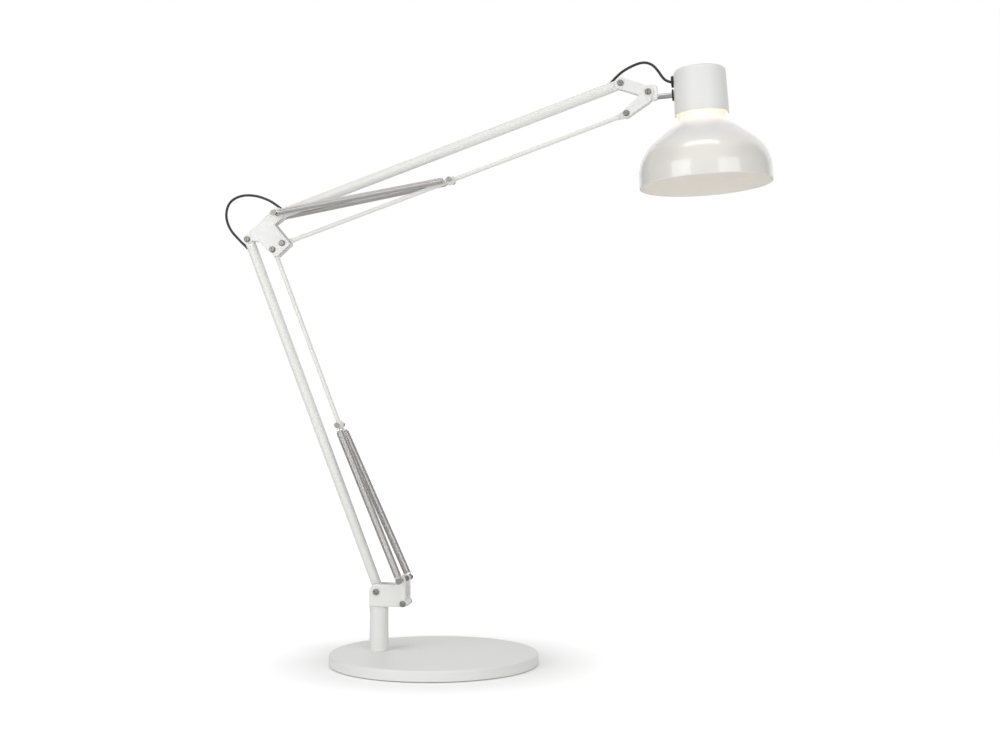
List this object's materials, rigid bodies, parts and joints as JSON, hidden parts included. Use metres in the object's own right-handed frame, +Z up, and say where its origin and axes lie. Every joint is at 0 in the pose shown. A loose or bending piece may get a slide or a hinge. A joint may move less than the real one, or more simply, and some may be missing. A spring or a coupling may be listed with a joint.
{
  "type": "desk lamp",
  "caption": "Spring-balanced desk lamp with two parallel-bar arms on a round weighted base and a bell-shaped glass shade on a white metal neck.",
  "frame": {"origin": "centre of the underside of the round base", "axes": "+X from the post towards the head, +Z up, the arms in the plane Y = 0"},
  "size_m": [0.6468, 0.24, 0.6843],
  "materials": {
    "painted_steel": "satin white powder coat",
    "painted_tube": "satin white powder coat",
    "felt": "pressed felt",
    "zinc_steel": "bright zinc plate",
    "white_plastic": "moulded",
    "chrome": "polished",
    "spring_steel": "drawn wire",
    "black_rubber": "smooth",
    "shade_glass": "opal-grey blown glass",
    "lit_bulb": "frosted"
  },
  "bodies": {
    "base": {"base_pad": "felt", "base_plate": "painted_steel", "post_tube": "painted_steel", "post_foot_plug": "zinc_steel", "post_screw": "zinc_steel", "post_bush": "white_plastic"},
    "bracket": {"swivel_pin": "zinc_steel", "swivel_circlip": "zinc_steel", "bracket_channel": "painted_steel", "bracket_screws": "zinc_steel", "bracket_nuts": "zinc_steel", "bracket_spacers": "white_plastic", "lower_spring_studs": "zinc_steel"},
    "lower_arm": {"lower_arm_tube": "painted_tube", "lower_arm_bottom_fitting": "white_plastic", "lower_arm_top_fitting": "white_plastic", "lower_arm_cord": "black_rubber", "elbow_cord_lower": "black_rubber"},
    "lower_rod": {"lower_rod": "painted_tube", "lower_rod_collar": "painted_tube", "lower_rod_spring_pin": "zinc_steel", "lower_spring_hooks": "spring_steel"},
    "lower_spring": {"lower_springs": "spring_steel"},
    "elbow": {"elbow_plate_front": "painted_steel", "elbow_plate_rear": "painted_steel", "elbow_screws": "zinc_steel", "elbow_nuts": "zinc_steel", "elbow_spacers": "white_plastic", "elbow_spring_pin": "zinc_steel"},
    "upper_arm": {"upper_arm_tube": "painted_tube", "upper_arm_back_fitting": "white_plastic", "upper_arm_front_fitting": "white_plastic", "upper_arm_cord": "black_rubber", "elbow_cord_upper": "black_rubber", "head_cord_rear": "black_rubber"},
    "upper_rod": {"upper_rod": "painted_tube", "upper_rod_collar": "painted_tube", "upper_rod_spring_pin": "zinc_steel"},
    "upper_spring": {"upper_springs": "spring_steel"},
    "upper_spring_end": {"upper_spring_hooks": "spring_steel"},
    "knuckle": {"knuckle_plate_front": "painted_steel", "knuckle_plate_rear": "painted_steel", "knuckle_screws": "zinc_steel", "knuckle_nuts": "zinc_steel", "knuckle_spacers": "white_plastic", "head_cord_mid": "black_rubber"},
    "head_tilt": {"hinge_block": "white_plastic", "head_stud": "chrome", "stud_washer": "black_rubber", "stud_nut": "zinc_steel", "head_cord_front": "black_rubber"},
    "head": {"neck_cover": "painted_steel", "cable_grommet": "black_rubber", "holder_strap": "zinc_steel", "holder_nipple": "zinc_steel", "lampholder": "white_plastic", "head_lead": "black_rubber", "shade_ring": "white_plastic", "bulb": "lit_bulb", "glass_shade": "shade_glass"}
  },
  "joints": [
    {"name": "bracket_swivel", "type": "hinge", "parent": "base", "child": "bracket", "pos_m": [-0.066, 0, 0.0631], "axis": [0, 0, 1], "range_deg": [-175, 175]},
    {"name": "lower_arm_lean", "type": "hinge", "parent": "bracket", "child": "lower_arm", "pos_m": [-0.066, 0, 0.0815], "axis": [0, 1, 0], "range_deg": [-22, 40]},
    {"name": "lower_rod_lean", "type": "hinge", "parent": "bracket", "child": "lower_rod", "pos_m": [-0.034, 0, 0.0685], "axis": [0, 1, 0], "range_deg": [-22, 40], "deforming": ["lower_spring_hooks"]},
    {"name": "lower_spring_swing", "type": "hinge", "parent": "bracket", "child": "lower_spring", "pos_m": [-0.0355, 0, 0.0956], "axis": [0, 1, 0], "range_deg": [-25.36, 45.7], "deforming": ["lower_springs"]},
    {"name": "elbow_level", "type": "hinge", "parent": "lower_arm", "child": "elbow", "pos_m": [-0.22873, 0, 0.49461], "axis": [0, 1, 0], "range_deg": [-40, 22], "deforming": ["elbow_cord_lower"]},
    {"name": "upper_arm_lean", "type": "hinge", "parent": "elbow", "child": "upper_arm", "pos_m": [-0.19123, 0, 0.5236], "axis": [0, 1, 0], "range_deg": [-33, 38], "deforming": ["elbow_cord_upper"]},
    {"name": "upper_rod_lean", "type": "hinge", "parent": "elbow", "child": "upper_rod", "pos_m": [-0.18473, 0, 0.48901], "axis": [0, 1, 0], "range_deg": [-33, 38]},
    {"name": "upper_spring_swing", "type": "hinge", "parent": "elbow", "child": "upper_spring", "pos_m": [-0.19123, 0, 0.5236], "axis": [0, 1, 0], "range_deg": [-33.17, 38.12], "deforming": ["upper_springs"]},
    {"name": "upper_spring_stretch", "type": "slide", "parent": "upper_spring", "child": "upper_spring_end", "axis": [0.9876, 0, 0.1568], "range_m": [-0.0195, 0.0222], "deforming": ["upper_spring_hooks"]},
    {"name": "knuckle_level", "type": "hinge", "parent": "upper_arm", "child": "knuckle", "pos_m": [0.21769, 0, 0.65979], "axis": [0, 1, 0], "range_deg": [-38, 33], "deforming": ["head_cord_rear"]},
    {"name": "head_tilt_hinge", "type": "hinge", "parent": "knuckle", "child": "head_tilt", "pos_m": [0.24889, 0, 0.64839], "axis": [0, 1, 0], "range_deg": [-60, 28], "deforming": ["head_cord_mid"]},
    {"name": "head_turn", "type": "hinge", "parent": "head_tilt", "child": "head", "pos_m": [0.30702, 0, 0.64583], "axis": [0.9984, 0, 0.0558], "range_deg": [-75, 75], "deforming": ["head_cord_front"]}
  ],
  "couplings": [
    {"joint": "elbow_level", "follows": "lower_arm_lean", "ratio": -1},
    {"joint": "lower_rod_lean", "follows": "lower_arm_lean", "ratio": 1},
    {"joint": "lower_spring_swing", "follows": "lower_arm_lean", "ratio": 1.13},
    {"joint": "upper_rod_lean", "follows": "upper_arm_lean", "ratio": 1},
    {"joint": "upper_spring_swing", "follows": "upper_arm_lean", "ratio": 0.99},
    {"joint": "upper_spring_stretch", "follows": "upper_arm_lean", "m_per_rad": 0.0321},
    {"joint": "knuckle_level", "follows": "upper_arm_lean", "ratio": -1}
  ]
}
